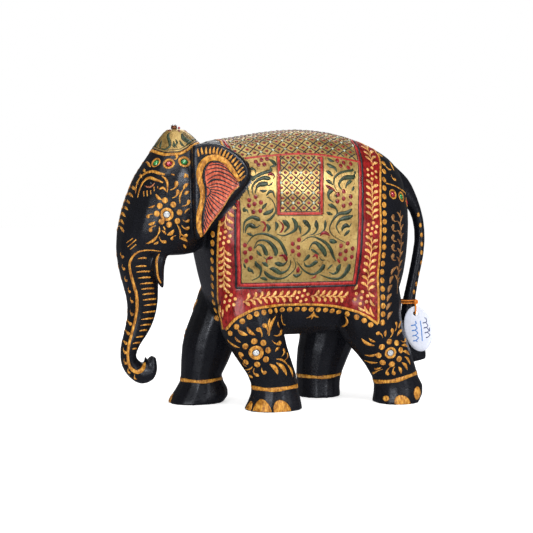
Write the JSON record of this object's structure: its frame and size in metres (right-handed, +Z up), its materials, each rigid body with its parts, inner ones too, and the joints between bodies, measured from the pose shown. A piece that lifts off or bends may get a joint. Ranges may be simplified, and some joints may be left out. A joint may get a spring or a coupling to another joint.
{
  "type": "carved wooden elephant figurine",
  "caption": "Walking elephant figurine of carved wood, with inlaid glass stones, a stone set in a cup on its crown and a card tag on a thread loop at its tail.",
  "frame": {"origin": "centre of the bounding box at the level of the foot soles", "axes": "+Z up, the elephant faces -Y, its left side is +X"},
  "size_m": [0.0936, 0.2426, 0.2052],
  "materials": {
    "black_lacquer_wood": "satin black lacquer with painted and gilded ornament",
    "gold_paint": "satin ochre gold paint on lacquered wood",
    "gold_leaf": "patchy metal leaf under varnish",
    "red_paint": "satin crimson paint",
    "green_paint": "satin dark green paint",
    "berry_paint": "glossy crimson paint",
    "ear_paint": "satin salmon orange paint",
    "pale_paint": "satin cream paint",
    "clear_glass": "faceted foil-backed rhinestone",
    "red_glass": "faceted foil-backed rhinestone",
    "green_glass": "faceted foil-backed rhinestone",
    "dark_metal": "dark coppery cup",
    "tag_card": "smooth white card",
    "tag_ink": "blue pen lines",
    "orange_thread": "twisted cotton thread"
  },
  "bodies": {
    "root": {"carved_body": "black_lacquer_wood", "forehead_1_stone_left": "green_glass", "forehead_1_stone_right": "green_glass", "forehead_2_stone_left": "red_glass", "forehead_2_stone_right": "red_glass", "forehead_3_stone_left": "green_glass", "forehead_3_stone_right": "green_glass", "cheek_stone_left": "clear_glass", "cheek_stone_right": "clear_glass", "rump_1_stone_left": "red_glass", "rump_1_stone_right": "red_glass", "rump_2_stone_left": "green_glass", "rump_2_stone_right": "green_glass", "rump_3_stone_left": "red_glass", "rump_3_stone_right": "red_glass", "shoulder_stone_left": "clear_glass", "shoulder_stone_right": "clear_glass", "hip_stone_left": "clear_glass", "hip_stone_right": "clear_glass", "crown_cup": "dark_metal", "crown_stone": "clear_glass", "crown_bead": "red_glass", "tag_thread": "orange_thread"},
    "loop": {"tag_loop": "orange_thread"},
    "tag": {"hang_tag": "tag_card"}
  },
  "joints": [
    {"name": "tag_lift", "type": "hinge", "parent": "root", "child": "loop", "pos_m": [0.0114, 0.10794, 0.0727], "axis": [-0.342, -0.9397, 0], "range_deg": [0, 75]},
    {"name": "tag_swing", "type": "hinge", "parent": "loop", "child": "tag", "pos_m": [0.0114, 0.10794, 0.0641], "axis": [0.9397, -0.342, 0], "range_deg": [-8, 65]}
  ]
}
